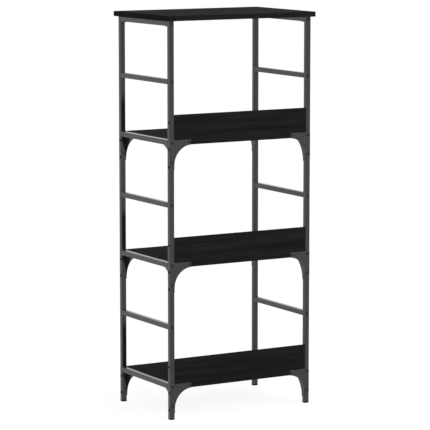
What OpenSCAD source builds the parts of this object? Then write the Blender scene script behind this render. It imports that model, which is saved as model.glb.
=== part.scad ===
// Open shelf unit: two bolted side frames of square tube, a top board and shelves.
// Each shelf has an upstand along its front: a board that covers its edge and rises above it.
// Millimetres, +Z up. The origin is on the floor under the middle of the frame,
// +X points to the right and the front is towards -Y.

/* [Overall] */
// Width of the frame over the outer faces of its posts
frame_w = 481; // [400:1:900]
// Depth of the frame over the outer faces of its posts
frame_d = 311; // [280:1:450]
// Number of shelves below the top board
shelf_count = 3; // [1:1:4]
// Height of the lowest shelf's underside above the floor
leg_gap = 91; // [91:1:200]
// Distance from one shelf's underside to the next
shelf_pitch = 359; // [300:1:420]

/* [Boards] */
// Thickness of the top board and the shelves
board_t = 15; // [15:1:20]
// How far the top board overhangs the frame on the left and on the right
side_overhang = 9.5; // [0:0.5:30]
// How far the top board overhangs the frame at the front and at the back
end_overhang = 12; // [0:0.5:30]
// Height of an upstand, from the shelf's underside up
upstand_h = 87.5; // [80:0.5:130]
// Gap between the end of a board and the metal beside it
board_gap = 0.5; // [0.2:0.1:2]

/* [Tubes] */
// Outer size of the square tube
tube = 15; // [15:1:18]
// Wall thickness of the tube
tube_wall = 1.2; // [1:0.1:2]
// Outer corner radius of the tube
tube_r = 1.8; // [0.5:0.1:2.5]
// Height of a crossbar's centre line above the underside of the shelf below it
crossbar_rise = 184; // [150:1:240]
// Thickness of a foot plug's sole
foot_t = 4; // [2:0.5:6]

/* [Gussets] */
// Thickness of the gusset plates
plate_t = 1.2; // [1:0.1:2]
// How far a plate's outer edge stays in from the tube's outer face
plate_inset = 1; // [0.5:0.1:2]
// Radius of the inner corner of a front or back gusset
front_gusset_r = 58; // [58:1:70]
// Reach of a front or back gusset's arm past its post
front_reach = 55; // [54:1:58]
// Radius of the inner corner of a side gusset, and its reach past its post
side_gusset_r = 72; // [70:1:75]

/* [Fasteners] */
// Diameter of the bolts
bolt_d = 5; // [4:0.5:6]
// Diameter of a bolt's button head
bolt_head_d = 9; // [8:0.5:10]
// Diameter of the wood screws
screw_d = 4; // [3:0.5:4.5]
// Diameter of a wood screw's pan head
screw_head_d = 7.5; // [7:0.5:8]
// Distance of the lower bolt of a front or back gusset below the shelf's underside
front_bolt_drop = 50; // [45:1:52]
// Distance of the upper bolt of a side gusset below the shelf's underside
upper_bolt_drop = 12; // [10:1:20]
// Distance of the lower bolt of a side gusset below the shelf's underside
lower_bolt_drop = 63; // [60:1:65]
// Distance of an upstand's end screw above the shelf's underside
end_screw_rise = 66; // [40:1:70]
// Distance of the screw in a gusset's arm from the post
arm_screw_x = 50; // [40:1:50]
// Distance of a top board screw from the post beside it
top_screw_inset = 16.5; // [15:0.5:60]

/* [Hidden] */
SIDES = ["left", "right"];
FACES = ["front", "back"];
LEVELS = [for (k = [1 : shelf_count]) k];

// Centre lines and inner faces of the posts, as distances from the middle of the frame
post_x = (frame_w - tube) / 2;
post_y = (frame_d - tube) / 2;
inner_x = frame_w / 2 - tube;
inner_y = frame_d / 2 - tube;
top_screw_y = inner_y - top_screw_inset;
// Underside of the top board, which is the top of the posts
top_z = leg_gap + shelf_count * shelf_pitch;
tube_bore = tube - 2 * tube_wall;
// Clearance on the diameter of every bolt and screw hole, and across each plug and insert
play = 0.2;
insert_length = 12;
insert_thread = 10;
foot_plug_h = 14;
foot_chamfer = 1.2;
bolt_head_h = 2.4;
screw_head_h = 2;
screw_tip = 3;
// How far a screw goes into the board it holds
screw_bite = 25;
top_screw_bite = 11;
socket_d = 3.5;
socket_depth = 1.5;
$fn = 48;

function shelf_z(k) = leg_gap + (k - 1) * shelf_pitch;
function rail_z(k) = shelf_z(k) + tube / 2;
function crossbar_z(k) = shelf_z(k) + crossbar_rise;
top_rail_z = top_z - tube / 2;
// Heights of the bars that end at a post: those with a gusset plate over the post, and the plain ones
plated_heights = [for (k = LEVELS) rail_z(k)];
plain_heights = concat([top_rail_z], [for (k = LEVELS) crossbar_z(k)]);
bar_heights = concat(plated_heights, plain_heights);
front_drop_heights = [for (k = LEVELS) shelf_z(k) - front_bolt_drop];
side_drop_heights = [for (k = LEVELS, drop = [upper_bolt_drop, lower_bolt_drop]) shelf_z(k) - drop];
end_screw_heights = [for (k = LEVELS) shelf_z(k) + end_screw_rise];

// ---- placing ----

// Everything is drawn at the front left corner and mirrored to the other corners.
module at_corner(side, face) {
    mirror([side == "right" ? 1 : 0, 0, 0])
        mirror([0, face == "back" ? 1 : 0, 0])
            children();
}

module at_all_corners() {
    for (f = FACES, s = SIDES)
        at_corner(s, f) children();
}

// Turns a shape that points along +Z so that it points along +Y
module along_y() {
    rotate([-90, 0, 0]) children();
}

// Turns a shape that points along +Z so that it points along +X
module along_x() {
    rotate([0, 90, 0]) children();
}

// ---- shared shapes ----

module rounded_square(size, r) {
    square([size, size - 2 * r], center = true);
    square([size - 2 * r, size], center = true);
    for (x = [-1, 1], y = [-1, 1])
        translate([x, y] * (size / 2 - r)) circle(r);
}

module square_tube(length) {
    linear_extrude(length) difference() {
        rounded_square(tube, tube_r);
        square(tube_bore, center = true);
    }
}

module hole(d, length) {
    translate([0, 0, -play]) cylinder(d = d + play, h = length + 2 * play);
}

// A tube from the front post to the back post of one side, its centre line at height z
module side_bar(side, z) {
    at_corner(side, "front")
        translate([-post_x, -inner_y, z])
            along_y() square_tube(2 * inner_y);
}

// Outline of a gusset: a strip over the post that ends strip_top above the bar's lower edge,
// an arm over the bar, and a quarter-round inner corner.
// The origin is where the inner edge of the post meets the lower edge of the bar.
module gusset_outline(r, reach, strip_top) {
    difference() {
        union() {
            translate([plate_inset - tube, -r]) square([tube - plate_inset, r + strip_top]);
            translate([0, -r]) square([reach, r + tube]);
        }
        translate([r, -r]) circle(r, $fn = 96);
    }
}

// Button-head bolt: the head is below z = 0 and the shank above it
module bolt(length) {
    head_r = bolt_head_d / 2;
    difference() {
        rotate_extrude() polygon([
            [0, -bolt_head_h],
            [head_r * 0.5, -bolt_head_h],
            [head_r * 0.78, -bolt_head_h * 0.8],
            [head_r * 0.95, -bolt_head_h * 0.45],
            [head_r, 0],
            [bolt_d / 2, 0],
            [bolt_d / 2, length],
            [0, length]
        ]);
        translate([0, 0, -bolt_head_h - play])
            cylinder(d = socket_d, h = socket_depth + play, $fn = 6);
    }
}

// Pan-head wood screw: the head is below z = 0 and the shank above it
module screw(length) {
    head_r = screw_head_d / 2;
    difference() {
        rotate_extrude() polygon([
            [0, -screw_head_h],
            [head_r * 0.6, -screw_head_h],
            [head_r * 0.92, -screw_head_h * 0.6],
            [head_r, 0],
            [screw_d / 2, 0],
            [screw_d / 2, length - screw_tip],
            [0, length]
        ]);
        translate([0, 0, -screw_head_h - play])
            cylinder(d = socket_d, h = socket_depth + play, $fn = 6);
    }
}

// ---- frame ----

module post(side, face) {
    color("#3b3d40") at_corner(side, face) difference() {
        translate([-post_x, -post_y, foot_t]) square_tube(top_z - foot_t);
        for (z = concat(bar_heights, front_drop_heights))
            translate([-post_x, -frame_d / 2, z]) along_y() hole(bolt_d, tube);
        for (z = side_drop_heights)
            translate([-frame_w / 2, -post_y, z]) along_x() hole(bolt_d, tube);
        if (face == "front")
            for (z = end_screw_heights)
                translate([-frame_w / 2, -post_y, z]) along_x() hole(screw_d, tube);
    }
}

module foot_plug(side, face) {
    color("#141415") at_corner(side, face) translate([-post_x, -post_y, 0]) {
        hull() {
            linear_extrude(foot_t) rounded_square(tube - 2 * foot_chamfer, tube_r, $fn = 32);
            translate([0, 0, foot_chamfer])
                linear_extrude(foot_t - foot_chamfer) rounded_square(tube, tube_r, $fn = 32);
        }
        linear_extrude(foot_t + foot_plug_h) square(tube_bore - play, center = true);
    }
}

module top_rail(side) {
    color("#3b3d40") difference() {
        side_bar(side, top_rail_z);
        at_corner(side, "front")
            for (y = [-top_screw_y, top_screw_y])
                translate([-post_x, y, top_z - tube]) hole(screw_d, tube);
    }
}

module shelf_rail(side, k) {
    color("#3b3d40") side_bar(side, rail_z(k));
}

module crossbar(side, k) {
    color("#3b3d40") side_bar(side, crossbar_z(k));
}

// Plate on the front face of a post and of its upstand, or on the back face of a post and of its shelf
module gusset(side, face, k) {
    color("#3b3d40") at_corner(side, face) difference() {
        translate([-inner_x, -frame_d / 2, shelf_z(k)])
            rotate([90, 0, 0])
                linear_extrude(plate_t) gusset_outline(front_gusset_r, front_reach, tube);
        for (z = [rail_z(k), shelf_z(k) - front_bolt_drop])
            translate([-post_x, -frame_d / 2 - plate_t, z]) along_y() hole(bolt_d, plate_t);
        translate([-inner_x + arm_screw_x, -frame_d / 2 - plate_t, rail_z(k)])
            along_y() hole(screw_d, plate_t);
    }
}

// Plate on the inner face of a post, below the shelf, and on the inner face of the shelf's rail
module side_gusset(side, face, k) {
    color("#3b3d40") at_corner(side, face) difference() {
        translate([-inner_x, -inner_y, shelf_z(k)])
            rotate([90, 0, 90])
                linear_extrude(plate_t) gusset_outline(side_gusset_r, side_gusset_r, 0);
        for (drop = [upper_bolt_drop, lower_bolt_drop])
            translate([-inner_x, -post_y, shelf_z(k) - drop]) along_x() hole(bolt_d, plate_t);
    }
}

// Threaded blocks inside both ends of every rail and crossbar
module rail_end_inserts() {
    color("#8a8c90") at_all_corners()
        for (z = bar_heights)
            translate([-post_x, -inner_y, z]) along_y() difference() {
                linear_extrude(insert_length) square(tube_bore - play, center = true);
                hole(bolt_d, insert_length);
            }
}

// ---- boards ----

module top_board() {
    board_w = frame_w + 2 * side_overhang;
    board_d = frame_d + 2 * end_overhang;
    color("#1c1b1b") difference() {
        translate([-board_w / 2, -board_d / 2, top_z]) cube([board_w, board_d, board_t]);
        for (x = [-post_x, post_x], y = [-top_screw_y, top_screw_y])
            translate([x, y, top_z]) hole(screw_d, top_screw_bite);
    }
}

// A shelf reaches from the upstand's back face to the back faces of the back posts
module shelf(k) {
    half_w = inner_x - plate_t - board_gap;
    color("#1c1b1b") difference() {
        translate([-half_w, -inner_y, shelf_z(k)]) cube([2 * half_w, inner_y + frame_d / 2, board_t]);
        for (s = SIDES, f = FACES)
            at_corner(s, f)
                translate([-inner_x + arm_screw_x, f == "front" ? -inner_y : -frame_d / 2, rail_z(k)])
                    along_y() hole(screw_d, screw_bite);
    }
}

module upstand(k) {
    half_w = inner_x - board_gap;
    color("#1c1b1b") difference() {
        translate([-half_w, -frame_d / 2, shelf_z(k)]) cube([2 * half_w, tube, upstand_h]);
        for (s = SIDES)
            at_corner(s, "front") {
                translate([-half_w, -post_y, shelf_z(k) + end_screw_rise])
                    along_x() hole(screw_d, screw_bite);
                translate([-inner_x + arm_screw_x, -frame_d / 2, rail_z(k)])
                    along_y() hole(screw_d, tube);
            }
    }
}

// ---- fasteners ----

// Bolts through the posts into the ends of the rails and crossbars
module frame_bolts() {
    color("#2a2b2d") at_all_corners() {
        for (z = plated_heights)
            translate([-post_x, -frame_d / 2 - plate_t, z])
                along_y() bolt(plate_t + tube + insert_thread);
        for (z = plain_heights)
            translate([-post_x, -frame_d / 2, z]) along_y() bolt(tube + insert_thread);
    }
}

// Bolts through the posts and the gusset plates. Each ends flush, in a thread cut in the metal there.
module gusset_bolts() {
    color("#2a2b2d") at_all_corners()
        for (k = LEVELS) {
            translate([-post_x, -frame_d / 2 - plate_t, shelf_z(k) - front_bolt_drop])
                along_y() bolt(tube + plate_t);
            for (drop = [upper_bolt_drop, lower_bolt_drop])
                translate([-frame_w / 2, -post_y, shelf_z(k) - drop])
                    along_x() bolt(tube + plate_t);
        }
}

// Screws from the gusset arms into the shelves' long edges, at the front through the upstand
module shelf_edge_screws() {
    color("#2a2b2d")
        for (s = SIDES, f = FACES, k = LEVELS)
            at_corner(s, f)
                translate([-inner_x + arm_screw_x, -frame_d / 2 - plate_t, rail_z(k)])
                    along_y() screw(plate_t + screw_bite + (f == "front" ? tube : 0));
}

// Screws from the front posts into the ends of the upstands
module upstand_screws() {
    color("#2a2b2d")
        for (s = SIDES, k = LEVELS)
            at_corner(s, "front")
                translate([-frame_w / 2, -post_y, shelf_z(k) + end_screw_rise])
                    along_x() screw(tube + screw_bite);
}

// Screws from the top rails up into the top board
module top_board_screws() {
    color("#2a2b2d")
        for (x = [-post_x, post_x], y = [-top_screw_y, top_screw_y])
            translate([x, y, top_z - tube]) screw(tube + top_screw_bite);
}

// ---- nodes ----

for (f = FACES, s = SIDES) {
    post(s, f);
    foot_plug(s, f);
    for (k = LEVELS) {
        gusset(s, f, k);
        side_gusset(s, f, k);
    }
}
for (s = SIDES) {
    top_rail(s);
    for (k = LEVELS) {
        shelf_rail(s, k);
        crossbar(s, k);
    }
}
for (k = LEVELS) {
    shelf(k);
    upstand(k);
}
top_board();
rail_end_inserts();
frame_bolts();
gusset_bolts();
shelf_edge_screws();
upstand_screws();
top_board_screws();
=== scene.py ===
import math

import bmesh
import bpy
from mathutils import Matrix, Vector


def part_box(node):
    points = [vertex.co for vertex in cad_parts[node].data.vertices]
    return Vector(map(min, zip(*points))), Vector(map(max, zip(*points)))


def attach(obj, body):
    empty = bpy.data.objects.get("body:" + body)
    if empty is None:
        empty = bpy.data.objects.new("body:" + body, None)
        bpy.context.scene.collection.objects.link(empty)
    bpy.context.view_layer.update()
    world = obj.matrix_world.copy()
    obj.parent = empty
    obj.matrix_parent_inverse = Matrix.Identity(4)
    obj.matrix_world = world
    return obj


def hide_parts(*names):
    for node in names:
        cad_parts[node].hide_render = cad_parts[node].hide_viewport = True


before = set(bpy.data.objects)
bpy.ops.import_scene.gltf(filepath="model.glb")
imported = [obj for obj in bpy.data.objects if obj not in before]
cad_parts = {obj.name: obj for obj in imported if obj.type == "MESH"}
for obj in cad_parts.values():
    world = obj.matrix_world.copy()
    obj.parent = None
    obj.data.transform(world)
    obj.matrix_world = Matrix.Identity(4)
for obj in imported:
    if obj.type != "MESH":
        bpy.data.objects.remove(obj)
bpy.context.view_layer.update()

MM = 0.001
SIDES = ("left", "right")
FACES = ("front", "back")
LEVELS = (1, 2, 3)


# ---- camera, light and floor: places and sizes in metres ----

CAMERA_PLACE = (-3.646, -6.218, 1.566)
CAMERA_DOWN_DEG = 7.85
CAMERA_TURN_DEG = -30.4
CAMERA_LENS_MM = 202.8
CAMERA_SENSOR_MM = 36.0
CAMERA_REACH = 200.0

KEY_LIGHT_PLACE = (3.6, -6.2, 4.0)
KEY_LIGHT_AIM = (2.6, -4.4, 0.0)
KEY_LIGHT_SIZE = 4.0
KEY_LIGHT_WATTS = 520.0

WHITE = (1.0, 1.0, 1.0, 1.0)
WORLD_STRENGTH = 1.0
FLOOR_HALF = 60.0
FLOOR_COLOUR = (0.1, 0.1, 0.1, 1.0)
FLOOR_GLOW = 0.91


def make_camera():
    data = bpy.data.cameras.new("camera")
    data.lens = CAMERA_LENS_MM
    data.sensor_width = CAMERA_SENSOR_MM
    data.clip_end = CAMERA_REACH
    camera = bpy.data.objects.new("camera", data)
    camera.location = CAMERA_PLACE
    camera.rotation_euler = (math.radians(90.0 - CAMERA_DOWN_DEG), 0.0, math.radians(CAMERA_TURN_DEG))
    bpy.context.collection.objects.link(camera)
    bpy.context.scene.camera = camera


def make_world():
    world = bpy.data.worlds.new("white_studio")
    world.use_nodes = True
    background = world.node_tree.nodes["Background"]
    background.inputs["Color"].default_value = WHITE
    background.inputs["Strength"].default_value = WORLD_STRENGTH
    bpy.context.scene.world = world
    bpy.context.scene.view_settings.view_transform = "Standard"


def make_key_light():
    data = bpy.data.lights.new("soft_key", "AREA")
    data.shape = "SQUARE"
    data.size = KEY_LIGHT_SIZE
    data.energy = KEY_LIGHT_WATTS
    light = bpy.data.objects.new("soft_key", data)
    light.location = KEY_LIGHT_PLACE
    direction = Vector(KEY_LIGHT_AIM) - Vector(KEY_LIGHT_PLACE)
    light.rotation_euler = direction.to_track_quat("-Z", "Y").to_euler()
    bpy.context.collection.objects.link(light)


def make_floor():
    """A wide pale floor that glows enough to merge with the white world"""
    half = FLOOR_HALF
    corners = [(-half, -half, 0), (half, -half, 0), (half, half, 0), (-half, half, 0)]
    mesh = bpy.data.meshes.new("floor")
    mesh.from_pydata(corners, [], [(0, 1, 2, 3)])
    floor = bpy.data.objects.new("floor", mesh)
    bpy.context.collection.objects.link(floor)
    paint = bpy.data.materials.new("pale_floor")
    paint.use_nodes = True
    shader = paint.node_tree.nodes["Principled BSDF"]
    shader.inputs["Base Color"].default_value = FLOOR_COLOUR
    shader.inputs["Emission Color"].default_value = WHITE
    shader.inputs["Emission Strength"].default_value = FLOOR_GLOW
    shader.inputs["Roughness"].default_value = 1.0
    shader.inputs["Specular IOR Level"].default_value = 0.0
    mesh.materials.append(paint)


# ---- materials: noise runs in object coordinates, in metres ----

UNSTRETCHED = (1.0, 1.0, 1.0)
EDGE_SAMPLES = 6


class Paint:
    """A material with a Principled shader, and short calls to add and link nodes"""

    def __init__(self, name):
        self.material = bpy.data.materials.new(name)
        self.material.use_nodes = True
        self.tree = self.material.node_tree
        self.shader = self.tree.nodes["Principled BSDF"]

    def add(self, kind, **settings):
        node = self.tree.nodes.new(kind)
        for key, value in settings.items():
            setattr(node, key, value)
        return node

    def link(self, out, into):
        self.tree.links.new(out, into)

    def feed(self, socket, out):
        """Links an output to a socket of the shader"""
        self.link(out, self.shader.inputs[socket])

    def set(self, **values):
        for key, value in values.items():
            self.shader.inputs[key.replace("_", " ")].default_value = value

    def place(self, stretch=UNSTRETCHED, offset=(0.0, 0.0, 0.0)):
        """Object coordinates, stretched and moved"""
        coordinates = self.add("ShaderNodeTexCoord")
        mapping = self.add("ShaderNodeMapping")
        mapping.inputs["Scale"].default_value = stretch
        mapping.inputs["Location"].default_value = offset
        self.link(coordinates.outputs["Object"], mapping.inputs["Vector"])
        return mapping.outputs["Vector"]

    def noise(self, vector, scale, detail=3.0, roughness=0.5, distortion=0.0):
        node = self.add("ShaderNodeTexNoise")
        node.inputs["Scale"].default_value = scale
        node.inputs["Detail"].default_value = detail
        node.inputs["Roughness"].default_value = roughness
        node.inputs["Distortion"].default_value = distortion
        self.link(vector, node.inputs["Vector"])
        return node.outputs["Fac"]

    def ramp(self, value, stops):
        """Maps a value through (position, grey or colour) stops"""
        node = self.add("ShaderNodeValToRGB")
        band = node.color_ramp
        while len(band.elements) < len(stops):
            band.elements.new(0.5)
        for element, (position, colour) in zip(band.elements, stops):
            if not isinstance(colour, tuple):
                colour = (colour, colour, colour)
            element.position = position
            element.color = (*colour, 1.0)
        self.link(value, node.inputs["Fac"])
        return node.outputs["Color"]

    def span(self, value, low, high):
        """Maps 0..1 to low..high"""
        node = self.add("ShaderNodeMapRange")
        node.inputs["To Min"].default_value = low
        node.inputs["To Max"].default_value = high
        self.link(value, node.inputs["Value"])
        return node.outputs["Result"]

    def mix(self, factor, under, colour):
        """Lays a plain colour over what is under it"""
        node = self.add("ShaderNodeMix", data_type="RGBA")
        self.link(factor, node.inputs["Factor"])
        self.link(under, node.inputs["A"])
        node.inputs["B"].default_value = (*colour, 1.0)
        return node.outputs["Result"]

    def bump(self, height, strength, distance, under=None):
        node = self.add("ShaderNodeBump")
        node.inputs["Strength"].default_value = strength
        node.inputs["Distance"].default_value = distance
        self.link(height, node.inputs["Height"])
        if under is not None:
            self.link(under, node.inputs["Normal"])
        return node.outputs["Normal"]

    def edges(self, radius, gain):
        """1 along outer edges, 0 on flat faces"""
        rounded = self.add("ShaderNodeBevel", samples=EDGE_SAMPLES)
        rounded.inputs["Radius"].default_value = radius
        geometry = self.add("ShaderNodeNewGeometry")
        dot = self.add("ShaderNodeVectorMath", operation="DOT_PRODUCT")
        self.link(rounded.outputs["Normal"], dot.inputs[0])
        self.link(geometry.outputs["Normal"], dot.inputs[1])
        bend = self.add("ShaderNodeMath", operation="SUBTRACT")
        bend.inputs[0].default_value = 1.0
        self.link(dot.outputs["Value"], bend.inputs[1])
        gained = self.add("ShaderNodeMath", operation="MULTIPLY", use_clamp=True)
        gained.inputs[1].default_value = gain
        self.link(bend.outputs["Value"], gained.inputs[0])
        return gained.outputs["Value"]

    def multiply(self, a, b):
        node = self.add("ShaderNodeMath", operation="MULTIPLY", use_clamp=True)
        self.link(a, node.inputs[0])
        self.link(b, node.inputs[1])
        return node.outputs["Value"]


def powder_coat():
    """Black satin powder coat: orange peel, slow changes of gloss, and edges rubbed a little lighter"""
    dark = (0.0065, 0.0065, 0.0069)
    pale = (0.0098, 0.0098, 0.0102)
    rubbed_colour = (0.05, 0.05, 0.052)
    paint = Paint("black_powder_coat")
    place = paint.place()
    cloud = paint.noise(place, scale=22.0, detail=4.0)
    peel = paint.noise(place, scale=900.0, detail=2.0)
    speck = paint.noise(place, scale=2600.0, detail=1.0)
    base = paint.ramp(cloud, [(0.3, dark), (0.7, pale)])
    specks = paint.ramp(speck, [(0.42, 0.0), (0.62, 0.6)])
    rubbed = paint.multiply(paint.edges(radius=0.8 * MM, gain=3.0), specks)
    paint.feed("Base Color", paint.mix(rubbed, base, rubbed_colour))
    paint.feed("Roughness", paint.span(cloud, low=0.12, high=0.18))
    paint.feed("Normal", paint.bump(peel, strength=0.25, distance=0.06 * MM))
    paint.set(IOR=1.5)
    return paint.material


def board_laminate(name, offset):
    """Black wood-grain laminate, grain along X, with fine pores pressed into it"""
    dark = (0.006, 0.0058, 0.0057)
    middle = (0.0105, 0.0102, 0.01)
    pale = (0.015, 0.0146, 0.0143)
    streak_colour = (0.0045, 0.0044, 0.0043)
    rubbed_colour = (0.03, 0.029, 0.028)
    paint = Paint(name)
    figure = paint.noise(paint.place((1.1, 26.0, 26.0), offset), scale=2.6, detail=5.0, roughness=0.6,
                         distortion=0.35)
    streak = paint.noise(paint.place((2.4, 170.0, 170.0), offset), scale=3.0, detail=4.0, roughness=0.65)
    pore = paint.noise(paint.place((14.0, 900.0, 900.0), offset), scale=2.2, detail=2.0)
    grain = paint.ramp(figure, [(0.3, dark), (0.55, middle), (0.75, pale)])
    dark_streak = paint.ramp(streak, [(0.45, 0.0), (0.7, 0.65)])
    coloured = paint.mix(dark_streak, grain, streak_colour)
    worn_streak = paint.ramp(streak, [(0.4, 0.1), (0.7, 0.5)])
    rubbed = paint.multiply(paint.edges(radius=0.9 * MM, gain=2.2), worn_streak)
    paint.feed("Base Color", paint.mix(rubbed, coloured, rubbed_colour))
    paint.feed("Roughness", paint.span(streak, low=0.55, high=0.75))
    pore_height = paint.ramp(pore, [(0.35, 0.0), (0.5, 1.0)])
    pores = paint.bump(pore_height, strength=0.35, distance=0.08 * MM)
    paint.feed("Normal", paint.bump(figure, strength=0.2, distance=0.2 * MM, under=pores))
    paint.set(Specular_IOR_Level=0.005)
    return paint.material


def moulded_plastic():
    """Matt black plastic with a fine moulded grain"""
    scuffed_colour = (0.015, 0.015, 0.015)
    paint = Paint("black_moulded_plastic")
    place = paint.place()
    grain = paint.noise(place, scale=1500.0, detail=2.0)
    cloud = paint.noise(place, scale=60.0)
    patches = paint.ramp(cloud, [(0.4, 0.1), (0.65, 0.7)])
    scuffed = paint.multiply(paint.edges(radius=1.2 * MM, gain=2.0), patches)
    base = paint.ramp(cloud, [(0.3, 0.003), (0.7, 0.005)])
    paint.feed("Base Color", paint.mix(scuffed, base, scuffed_colour))
    paint.feed("Roughness", paint.span(grain, low=0.45, high=0.6))
    paint.feed("Normal", paint.bump(grain, strength=0.3, distance=0.05 * MM))
    paint.set(Specular_IOR_Level=0.03)
    return paint.material


def black_oxide():
    """Blackened steel of the fasteners, brighter on rubbed rims"""
    dark = (0.009, 0.009, 0.010)
    pale = (0.016, 0.016, 0.017)
    worn_colour = (0.06, 0.06, 0.062)
    paint = Paint("black_oxide_steel")
    mottle = paint.noise(paint.place(), scale=700.0, detail=4.0)
    base = paint.ramp(mottle, [(0.35, dark), (0.7, pale)])
    patches = paint.ramp(mottle, [(0.4, 0.1), (0.6, 0.8)])
    worn = paint.multiply(paint.edges(radius=0.4 * MM, gain=2.5), patches)
    paint.feed("Base Color", paint.mix(worn, base, worn_colour))
    paint.feed("Roughness", paint.span(mottle, low=0.32, high=0.5))
    paint.feed("Normal", paint.bump(mottle, strength=0.2, distance=0.04 * MM))
    paint.set(Specular_IOR_Level=0.2)
    return paint.material


def zinc_steel():
    """Plain zinc-plated steel, brushed along Y, the length of the rails it sits in"""
    paint = Paint("zinc_plated_steel")
    brush = paint.noise(paint.place((900.0, 40.0, 900.0)), scale=1.0, detail=3.0)
    paint.feed("Base Color", paint.ramp(brush, [(0.3, 0.36), (0.7, 0.5)]))
    paint.feed("Roughness", paint.span(brush, low=0.28, high=0.42))
    paint.feed("Normal", paint.bump(brush, strength=0.2, distance=0.03 * MM))
    paint.set(Metallic=1.0)
    return paint.material


# ---- mesh pieces ----

# Edges that turn more than this are sharp, and faces that turn less than the next are one flat face
SHARP_DEG = 40.0
FLAT_DEG = 0.5
MERGE_DISTANCE = 0.002 * MM

SOFT_SEGMENTS = 2
BOARD_RADIUS = 1.1 * MM
BOARD_SEGMENTS = 4

SOLE_HEIGHT = 4.0 * MM
SOLE_RADIUS = 1.5 * MM
SOLE_SEGMENTS = 5
STEM_INSET = 1.3 * MM
STEM_SINK = 0.5 * MM
STEM_RADIUS = 0.8 * MM
STEM_SEGMENTS = 2


def add_piece(name, mesh, material, slot, *replaced):
    """A new visible piece that stands for CAD nodes and rides on the unit"""
    mesh.materials.append(material)
    piece = bpy.data.objects.new(name, mesh)
    bpy.context.collection.objects.link(piece)
    weighted = piece.modifiers.new("weighted_normals", "WEIGHTED_NORMAL")
    weighted.keep_sharp = True
    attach(piece, "root")
    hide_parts(*replaced)


def finish_mesh(name, shape):
    bmesh.ops.recalc_face_normals(shape, faces=shape.faces)
    mesh = bpy.data.meshes.new(name)
    shape.to_mesh(mesh)
    shape.free()
    for polygon in mesh.polygons:
        polygon.use_smooth = True
    mesh.set_sharp_from_angle(angle=math.radians(SHARP_DEG))
    return mesh


def round_edges(shape, edges, width, segments, clamp):
    bmesh.ops.bevel(shape, geom=edges, offset=width, offset_type="OFFSET", segments=segments, profile=0.5,
                    affect="EDGES", clamp_overlap=clamp)


def add_block(shape, low, high, radius, segments):
    """A box with rounded edges"""
    made = bmesh.ops.create_cube(shape, size=1.0)["verts"]
    low, high = Vector(low), Vector(high)
    for vert in made:
        vert.co = Vector(low[i] + (high[i] - low[i]) * (vert.co[i] + 0.5) for i in range(3))
    edges = list({edge for vert in made for edge in vert.link_edges})
    round_edges(shape, edges, radius, segments, clamp=True)


def make_board(node, material):
    """A board with softly rounded laminate edges"""
    low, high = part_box(node)
    shape = bmesh.new()
    add_block(shape, low, high, BOARD_RADIUS, BOARD_SEGMENTS)
    add_piece(node + "_board", finish_mesh(node, shape), material, "black_board", node)


def softened(node, material, slot, width):
    """A copy of a CAD node with its flat faces joined, its sharp edges rounded by width, and smooth arcs"""
    shape = bmesh.new()
    shape.from_mesh(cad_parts[node].data)
    bmesh.ops.remove_doubles(shape, verts=shape.verts, dist=MERGE_DISTANCE)
    bmesh.ops.dissolve_limit(shape, angle_limit=math.radians(FLAT_DEG), verts=shape.verts, edges=shape.edges,
                             delimit=set())
    sharp = [edge for edge in shape.edges if edge.calc_face_angle(0.0) > math.radians(SHARP_DEG)]
    # A clamp would let one tight spot shrink the rounding of the whole piece
    round_edges(shape, sharp, width, SOFT_SEGMENTS, clamp=False)
    add_piece(node + "_soft", finish_mesh(node, shape), material, slot, node)


def make_foot(node, material):
    """A plug with a rounded sole, and the stem that holds it in its tube"""
    low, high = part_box(node)
    stem_low = (low[0] + STEM_INSET, low[1] + STEM_INSET, SOLE_HEIGHT - STEM_SINK)
    stem_high = (high[0] - STEM_INSET, high[1] - STEM_INSET, high[2])
    shape = bmesh.new()
    add_block(shape, low, (high[0], high[1], SOLE_HEIGHT), SOLE_RADIUS, SOLE_SEGMENTS)
    add_block(shape, stem_low, stem_high, STEM_RADIUS, STEM_SEGMENTS)
    add_piece(node + "_moulded", finish_mesh(node, shape), material, "black_plastic", node)


# ---- the unit ----

make_camera()
make_world()
make_floor()
make_key_light()

COAT = powder_coat()
PLASTIC = moulded_plastic()
OXIDE = black_oxide()
ZINC = zinc_steel()

TUBES = ("post_", "top_rail_", "shelf_rail_", "crossbar_")
PLATES = ("gusset_front_", "gusset_back_", "side_gusset_")
FASTENERS = ("frame_bolts", "gusset_bolts", "shelf_edge_screws", "upstand_screws", "top_board_screws")
INSERTS = ("rail_end_inserts",)

# How the nodes' names start, then their material, slot and edge rounding
FINISHES = (
    (TUBES, COAT, "frame_metal", 0.2 * MM),
    (PLATES, COAT, "frame_metal", 0.3 * MM),
    (FASTENERS, OXIDE, "black_fasteners", 0.12 * MM),
    (INSERTS, ZINC, "insert_steel", 0.15 * MM),
)
for prefixes, material, slot, width in FINISHES:
    for name in sorted(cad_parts):
        if name.startswith(prefixes):
            softened(name, material, slot, width)

# Each board's grain starts elsewhere in the noise, so no two boards look alike
GRAIN_SHIFT = (0.37, 1.9, 0.8)
BOARDS = ["top_board"] + [f"shelf_{k}" for k in LEVELS] + [f"upstand_{k}" for k in LEVELS]
for order, board in enumerate(BOARDS):
    offset = tuple(shift * order for shift in GRAIN_SHIFT)
    make_board(board, board_laminate(f"black_laminate_{board}", offset))

for face in FACES:
    for side in SIDES:
        make_foot(f"foot_plug_{face}_{side}", PLASTIC)
